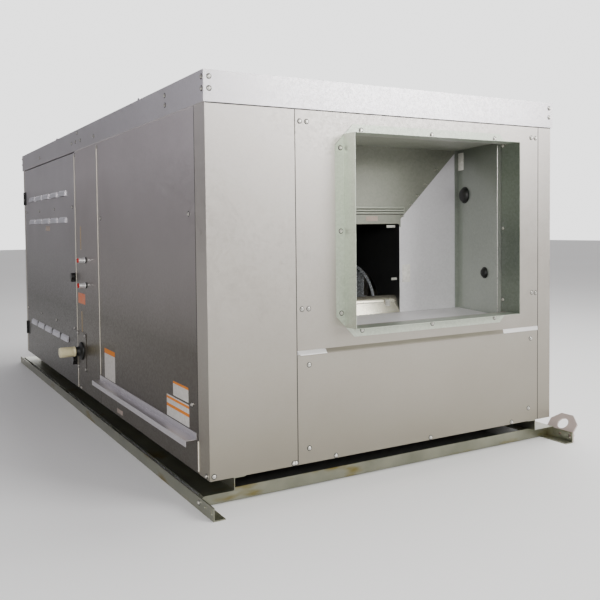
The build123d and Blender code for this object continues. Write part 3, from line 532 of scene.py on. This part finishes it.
# A dark ring under plain screw heads: painted shade round each head
SHADE_RING = [(8.6, 0), (8.6, 0.4), (6.2, 0.7)]


def screws(name, places, body="root", profile=None, material=None):
    """A field of like screw heads, joined as one mesh. Plain ones have a dark rubber ring under the
    head, painted shade round it.
    """
    rows = turned(profile or SCREW_HEAD, around=12, flats=6, twist=0.35)
    if not profile:
        # Dark ring under each plain head: painted shade
        surface(name + "_washers", placed(turned(SHADE_RING, 16), places), rubber, body)
    surface(name, placed(rows, places), material or zinc, body)


def plate_rows(width, height, thick):
    """A thin plate with small round corners, in millimetres. Its outline is four quarter circles
    about the corners' centres, and its rows are its foot, its edge and its top face, drawn in by a
    bevel."""
    corner = 1.5
    quarter = np.linspace(0, 1, 4)
    arcs = []
    for i, (sx, sy) in enumerate(((1, 1), (-1, 1), (-1, -1), (1, -1))):
        angle = (quarter + i) * np.pi / 2
        arcs.append(np.stack([
            sx * (width / 2 - corner) + corner * np.cos(angle),
            sy * (height / 2 - corner) + corner * np.sin(angle),
        ], axis=1))
    edge = np.concatenate(arcs)
    rows = ((1.0, 0.0), (1.0, thick * 0.6), (0.985, thick))
    return MM * np.array([
        np.column_stack([edge * shrink, np.full(len(edge), up)]) for shrink, up in rows
    ])


def plate(name, face, low, high, material, body="root", lift=0.0, thick=0.4):
    """A thin plate between two corners of a face, in millimetres."""
    (x0, y0), (x1, y1) = low, high
    places = on_face(face, [((x0 + x1) / 2, (y0 + y1) / 2)], lift)
    return surface(name, placed(plate_rows(x1 - x0, y1 - y0, thick), places), material, body)


def sticker(name, face, low, high, material, body="root", lift=0.0):
    """A blank sticker: a plate whose UV height runs from its lower edge to its upper."""
    mesh = plate(name, face, low, high, material, body, lift).data
    uv = mesh.uv_layers.new(name="label")
    co = np.zeros(len(mesh.vertices) * 3, np.float32)
    mesh.vertices.foreach_get("co", co)
    corner_of = np.zeros(len(mesh.loops), np.int32)
    mesh.loops.foreach_get("vertex_index", corner_of)
    up = co.reshape(-1, 3)[corner_of, 2]
    share = (up - up.min()) / (up.max() - up.min())
    uv.data.foreach_set("uv", np.stack([np.full_like(share, 0.5), share], axis=1).ravel())


def bead(name, face, ends, width, proud, material):
    """A half-round bead between two points of a face, in millimetres: a half circle, stretched to
    the width and height, and carried from end to end."""
    (start, stop), axes = on_face(face, ends)
    along = (stop - start) / np.linalg.norm(stop - start)
    out = axes[0][2]
    side = np.cross(out, along)
    angle = np.linspace(0, np.pi, 9)
    section = (
        np.outer(np.cos(angle) * width * MM / 2, side) + np.outer(np.sin(angle) * proud * MM, out)
    )
    surface(name, np.stack([start + section, stop + section])[None], material)


def stand_in(name, face, point, profile, material, replaced, lift):
    """A turned piece at one point of a face that stands for a CAD node of a plainer shape."""
    rows = placed(turned(profile, 40), on_face(face, [point], lift))
    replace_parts(surface(name, rows, material), replaced)


# Screws

# Rows and columns that more than one face or flange shares, in millimetres
FASCIA_ROWS = (1146, 1180)
COLLAR_ROWS = (994, 729, 466)
COLLAR_COLUMNS = (-167, 130.5, 425.5)


def front_screws():
    """Screws of the duct end: the two panels, the hem, the collar and the fascia."""
    pairs = [
        (-397.6, 1070), (-372.3, 1070), (-395.6, 488), (-371.1, 488),
        (613.9, 1066), (635.7, 1065.6), (618.3, 486.7), (638.7, 484.5),
    ]
    lower = [(-371.3, 311.3), (612.9, 313.2), (-373.3, 47.2), (601.8, 49.2)]
    hem = [(-703.7, 13), (-431, 8), (-423, 8), (-273, 8), (122, 8), (513, 8)]
    screws("front_panel_screws", on_face("front", pairs + lower + hem))
    flanges = [(x, z) for x in (-248, 501) for z in COLLAR_ROWS]
    flanges += [(x, z) for z in (405, 1053) for x in COLLAR_COLUMNS]
    screws("collar_screws", on_face("front", flanges, 1.5))
    corners = [(x, z) for x in (-704, 704) for z in FASCIA_ROWS]
    screws("fascia_front_screws", on_face("fascia_front", corners))
    screws("fascia_rear_screws", on_face("fascia_rear", corners))


def side_screws():
    """Screws of the long sides, with the right side's set like the left's."""
    door = [(y, z) for y in (1295, 926, 556, 180) for z in (852, 276)]
    screws("door_screws", on_face("left", door), body="door")
    fixed = [
        (-1238, 788), (-288, 790), (-1243, 203), (-1343, 9), (82, 9), (118, 1092), (-254, 1092),
    ]
    screws("left_panel_screws", on_face("left", fixed))
    pipe_plate = [(115, 261), (-8, 261), (113, 106), (-13, 108)]
    screws("pipe_plate_screws", on_face("left", pipe_plate, 2))
    ends = [(y, z) for y in (-1360, 1360) for z in FASCIA_ROWS]
    along = [
        (-1069, 1142), (-1067, 1173), (-229, 1139), (-10, 1146),
        (75, 1148), (145, 1148), (45, 1185), (860, 1145),
    ]
    screws("fascia_left_screws", on_face("fascia_left", ends + along))
    screws("fascia_right_screws", on_face("fascia_right", ends + along[:4] + along[-1:]))
    seams, beside = (-1288, -246, 127, 1330), 38
    right = [
        (seam + way * beside, z) for seam in seams for way in (-1, 1)
        for z in (47, 203, 488, 788, 1070) if -1330 < seam + way * beside < 1355
    ]
    screws("right_panel_screws", on_face("right", right))


def rear_screws():
    """Screws round the rear panel and its louvre frame."""
    sides = [(x, z) for x in (-600, 600) for z in (60, 330, 600, 870, 1070)]
    frame_holes = [(x, z) for x in (-210, 50, 330, 590) for z in (260, 980)]
    screws("rear_panel_screws", on_face("rear", sides + frame_holes))


def seam_screws():
    """Screw tips that come through along the bulkhead's sloping seam."""
    seam = [(439.7, 966.6), (382.8, 907.9), (341.1, 862.1), (309.0, 826.4), (265.8, 781.3)]
    screws("seam_screw_tips", on_face("bulkhead", seam, -0.2), profile=SCREW_TIP)


def skid_bolts():
    """Hex bolts: through the lugs into the right rail, and in the cross members' end tabs."""
    lug = [(end * (1452 - from_end), 24) for end in (-1, 1) for from_end in (56, 12)]
    screws("lug_bolts", on_face("lug", lug), profile=BOLT_HEAD, material=brass)
    screws("left_rail_bolts", on_face("rail_left", [(end * 1351, 24) for end in (-1, 1)]))


# Controls on the left side


def pilot_lights():
    """Domed lenses on the barrels, with their washers, nuts and rims; barrels, nuts and rims are
    drawn nearly white, a painted highlight.
    with the square root of one less the square of its height's share."""
    points = [(-38, 494), (-38, 607)]
    rise = np.linspace(0, 1, 7)[:-1]
    dome = [(11 * np.sqrt(1 - u ** 2), 4 + 6 * u) for u in rise]
    lens = turned([(11, 0)] + dome + [(1, 10)], 32)
    lenses = surface(
        "pilot_light_domes", placed(lens, on_face("left", points, 32)), lens_plastic,
    )
    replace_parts(lenses, "pilot_lenses")
    washer = [(14, 0), (14, 2), (13, 3), (11.4, 4.2)]
    nut = [(13, 4.2), (13, 7.4), (12.2, 8.2)]
    rim = [(12.2, 0), (12.2, 2.6), (11.2, 3.2)]
    for name, profile, material, lift in (
        ("pilot_washers", washer, rubber, 0), ("pilot_nuts", nut, highlit_plating, 0),
        ("pilot_rims", rim, highlit_plating, 30),
    ):
        surface(name, placed(turned(profile, 32), on_face("left", points, lift)), material)


def pipe_and_boot():
    """The rubber boot with its neck, and the shipping cap with a rounded end and a grip ring."""
    point = (50, 185)
    boot = [
        (41, 0), (41, 5), (39.5, 7.5), (36, 9), (29, 10), (24, 13), (21, 18), (19.5, 25),
        (19.5, 30), (16, 31),
    ]
    cap = [
        (21.5, 0), (23, 1.5), (23, 8), (22.4, 9), (22.4, 12), (23, 13), (23, 66), (22.4, 69),
        (20.8, 71.2), (18, 72),
    ]
    stand_in("boot_with_neck", "left", point, boot, rubber, "pipe_boot", 2)
    stand_in("rounded_cap", "left", point, cap, ivory_plastic, "pipe_cap", 34)


# Stickers and small trim


def stickers():
    """Blank stickers where the unit has its printed ones."""
    orange_ink = "#d8802a"
    banded = sticker_paper("banded_label_stock", "#d9d5cf", orange_ink, ((0.84, 1.0),))
    twice = sticker_paper(
        "twice_banded_label_stock", "#dcd9d4", orange_ink, ((0.45, 0.6), (0.82, 0.94))
    )
    plain = sticker_paper("plain_label_stock", "#f6f4ee")
    orange = sticker_paper("orange_label_stock", "#e8660c")
    faint = sticker_paper("faint_label_stock", "#a58f84")
    sticker("sticker_by_ledge", "left", (-450, 124), (-307, 249), banded)
    sticker("sticker_by_corner", "left", (-1217, 125), (-1026, 196), twice)
    sticker("sticker_over_corner", "left", (-1213, 202), (-1085, 249), banded)
    sticker("sticker_on_strip", "left", (-15, 404), (107, 452), orange)
    sticker("sticker_on_door", "left", (669, 740), (774, 767), faint, body="door")
    sticker("sticker_on_foot", "left", (-540, 12), (-467, 29), faint)
    sticker("sticker_on_bulkhead", "bulkhead", (270, 522), (310, 591), plain, lift=-2)
    sticker("sticker_under_trim", "bulkhead", (95, 763), (150, 782), faint)
    sticker("sticker_on_wall", "plenum_wall", (266, 966), (310, 1036), plain)


def tapes_and_gaskets():
    """Foam tape squeezed out of the seams of the left side, and tape on its wire slots."""
    bead("strip_gasket", "left", ((-246, 125), (-246, 1100)), 2.4, 2.0, gasket_foam)
    bead("door_gasket", "left", ((129.5, 4), (129.5, 1095)), 2.4, 2.0, gasket_foam)
    bead("corner_gasket", "left", ((-1288, 8), (-1288, 100)), 3.0, 3.0, gasket_foam)
    bead("upper_slot_tape", "left", ((41, 655), (41, 759)), 6.0, 1.2, tan_tape)
    bead("lower_slot_tape", "left", ((47, 265), (47, 369)), 6.0, 1.2, tan_tape)


def seam_sealant():
    """Dark sealant pressed into the seams between the panels, and a dark bead under the front
    fascia that is a painted shadow.
    """
    for name, face, ends in (
        ("front_seam_left", "front", ((-415, 2), (-415, 1107))),
        ("front_seam_right", "front", ((651, 2), (651, 1107))),
        ("side_seam_front", "left", ((-1288, 125), (-1288, 1107))),
        # A painted shadow line under the fascia's hem
        ("fascia_shadow_line", "front", ((-716, 1106.5), (716, 1106.5))),
    ):
        bead(name, face, ends, 3.2, 0.6, sealant)


def wall_bushings():
    """Rubber bushings in the two holes of the plenum's right wall: a thin lip, then a dome whose
    radius falls with the cosine while its height grows with the sine."""
    u = np.linspace(0, np.pi / 2, 8)[:-1]
    for name, deep, z, radius, proud in (
        ("upper_bushing", 276, 864, 29, 20), ("lower_bushing", 135, 559, 18, 14),
    ):
        lip, lip_thick = radius + 4, 2
        dome = np.stack(
            [radius * np.cos(u) + 1, lip_thick + (proud - lip_thick) * np.sin(u)], axis=1
        ).tolist()
        profile = [(lip, 0), (lip, lip_thick)] + dome + [(1, proud)]
        place = on_face("plenum_wall", [((deep - WALL_DEEP) / WALL_COS, z)])
        surface(name, placed(turned(profile, 48), place), rubber)


def outlet_fittings():
    """Bright tabs inside the outlet's right edge, the screwed return of the duct opening with its
    lapped edge, and dark beads in the grooves between the ribs of the strip above, painted shade."""
    for name, low, high in (
        ("outlet_tab_upper", (204, 737), (246, 747)),
        ("outlet_tab_middle", (226, 531), (254, 541)),
        ("outlet_tab_lower", (196, 415), (218, 456)),
    ):
        plate(name, "bulkhead", low, high, zinc, lift=-16, thick=2)
    # The return's liner uses the collar's darker copy: painted shade
    plate("return_liner", "return", (-1367.5, 422), (-1343.5, 1036), collar_shade_steel, thick=0.6)
    bead("wall_lap_edge", "return", ((-1324, 408), (-1324, 1036)), 3.0, 2.6, zinc)
    screws("return_screws", on_face("return", [(-1350, 1033), (-1351, 730), (-1351, 466)]))
    # Dark beads in the grooves between the ribs: painted shade
    for i, z in enumerate((789, 799, 809)):
        bead(f"rib_groove_shade_{i}", "bulkhead", ((-138, z), (276, z)), 2.4, 3.4, sealant)


# Studio


def studio_floor():
    """A plain pale floor, with a painted shadow under the unit."""
    paint, tree, output, place = blank_material("pale_studio_floor")
    cloud = add(tree, "ShaderNodeTexNoise", {"Vector": place, "Scale": 0.4}).outputs[0]
    colour = add(
        tree, "ShaderNodeMix", {0: cloud, 6: "#f4f3f1", 7: "#fafaf9"}, data_type="RGBA"
    ).outputs[2]
    flat = add(tree, "ShaderNodeSeparateXYZ", {0: place}).outputs
    near = []
    for distance, half_size in ((flat[0], 0.70), (flat[1], 1.36)):
        away = add(tree, "ShaderNodeMath", {0: distance}, operation="ABSOLUTE").outputs[0]
        near.append(add(
            tree, "ShaderNodeMapRange",
            {"Value": away, "From Min": half_size, "From Max": half_size - 0.12},
        ).outputs[0])
    # Painted shadow: darker where the unit stands over the floor
    painted_shadow = add(tree, "ShaderNodeMath", {0: near[0], 1: near[1]}, operation="MULTIPLY").outputs[0]
    colour = add(
        tree, "ShaderNodeMix", {0: painted_shadow, 6: colour, 7: "#3b3a37"}, data_type="RGBA"
    ).outputs[2]
    shader = add(tree, "ShaderNodeBsdfPrincipled", {"Base Color": colour, "Roughness": 0.8})
    tree.links.new(shader.outputs[0], output.inputs[0])
    half = 30.0
    corners = [(-half, -half, 0), (half, -half, 0), (half, half, 0), (-half, half, 0)]
    mesh = bpy.data.meshes.new("studio_floor")
    mesh.from_pydata(corners, [], [(0, 1, 2, 3)])
    mesh.materials.append(paint)
    floor = bpy.data.objects.new("studio_floor", mesh)
    bpy.context.scene.collection.objects.link(floor)


def studio_world():
    """A world that is bright behind the unit and on the duct end's side, and dark past the control
    side. Each tone fades in between two heights, or two cosines of the angle from a direction."""
    world = bpy.data.worlds.new("studio_world")
    bpy.context.scene.world = world
    world.use_nodes = True
    tree = world.node_tree
    tree.nodes.clear()
    direction = add(tree, "ShaderNodeTexCoord").outputs["Generated"]
    up = add(tree, "ShaderNodeSeparateXYZ", {0: direction}).outputs[2]
    colour = "#453f3a"
    for way, start, end, tone in (
        (None, -0.03, 0.13, "#d6d3dc"), (None, 0.3, 0.65, "#76757c"),
        ((-0.139, 0.990, 0.0), 0.92, 0.985, "#151311"), ((0.64, -0.77, 0.0), -0.1, 0.5, "#dcdad7"),
        ((0.545, 0.839, 0.0), 0.70, 0.88, "#ffffff"),
    ):
        toward = up
        if way:
            toward = add(
                tree, "ShaderNodeVectorMath", {0: direction, 1: way}, operation="DOT_PRODUCT"
            ).outputs["Value"]
        share = add(
            tree, "ShaderNodeMapRange", {"Value": toward, "From Min": start, "From Max": end},
            interpolation_type="SMOOTHSTEP",
        ).outputs[0]
        colour = add(
            tree, "ShaderNodeMix", {0: share, 6: colour, 7: tone}, data_type="RGBA"
        ).outputs[2]
    # The last tone, the backdrop, is also the strongest
    strength = add(
        tree, "ShaderNodeMapRange", {"Value": share, "To Min": 1.0, "To Max": 2.4}
    ).outputs[0]
    background = add(tree, "ShaderNodeBackground", {"Color": colour, "Strength": strength})
    add(tree, "ShaderNodeOutputWorld", {"Surface": background.outputs[0]})


def studio_lights():
    """Soft area lights: the place of each, the point it is aimed at, its width and its watts."""
    for name, place, aim, size, power in (
        ("front_softbox", (3.2, -5.2, 3.0), (0.2, -1.3, 0.6), 3.0, 260),
        ("top_softbox", (1.6, 0.0, 4.6), (0.4, 0.0, 0.6), 3.0, 160),
        ("camera_side_lamp", (-2.1, -4.1, 1.5), (0.3, -1.2, 0.6), 0.6, 70),
    ):
        light = bpy.data.lights.new(name, "AREA")
        light.size = size
        light.energy = power
        lamp = bpy.data.objects.new(name, light)
        bpy.context.scene.collection.objects.link(lamp)
        lamp.location = place
        lamp.rotation_mode = "QUATERNION"
        lamp.rotation_quaternion = (Vector(aim) - Vector(place)).to_track_quat("-Z", "Y")


def camera():
    """The photograph's camera: its place and turn were solved from the cabinet's own edges."""
    place = (-1.5848, -3.3104, 0.8282)
    azimuth, elevation, roll = np.radians((-28.34, 2.26, -0.72))
    back = np.array([
        np.sin(azimuth) * np.cos(elevation), -np.cos(azimuth) * np.cos(elevation),
        np.sin(elevation),
    ])
    level = np.array([np.cos(azimuth), np.sin(azimuth), 0.0])
    upright = np.cross(back, level)
    across = np.cos(roll) * level + np.sin(roll) * upright
    up = -np.sin(roll) * level + np.cos(roll) * upright
    lens = bpy.data.cameras.new("photo_camera")
    lens.sensor_width = 36.0
    lens.lens = 43.99
    lens.shift_x, lens.shift_y = 0.0645, -0.0723
    lens.clip_end = 200.0
    eye = bpy.data.objects.new("photo_camera", lens)
    bpy.context.scene.collection.objects.link(eye)
    eye.matrix_world = Matrix([*zip(across, up, back, place), (0, 0, 0, 1)])
    bpy.context.scene.camera = eye


finish_cad_pieces()
front_screws()
side_screws()
rear_screws()
seam_screws()
skid_bolts()
pilot_lights()
pipe_and_boot()
stickers()
tapes_and_gaskets()
seam_sealant()
wall_bushings()
outlet_fittings()
studio_floor()
studio_world()
studio_lights()
camera()
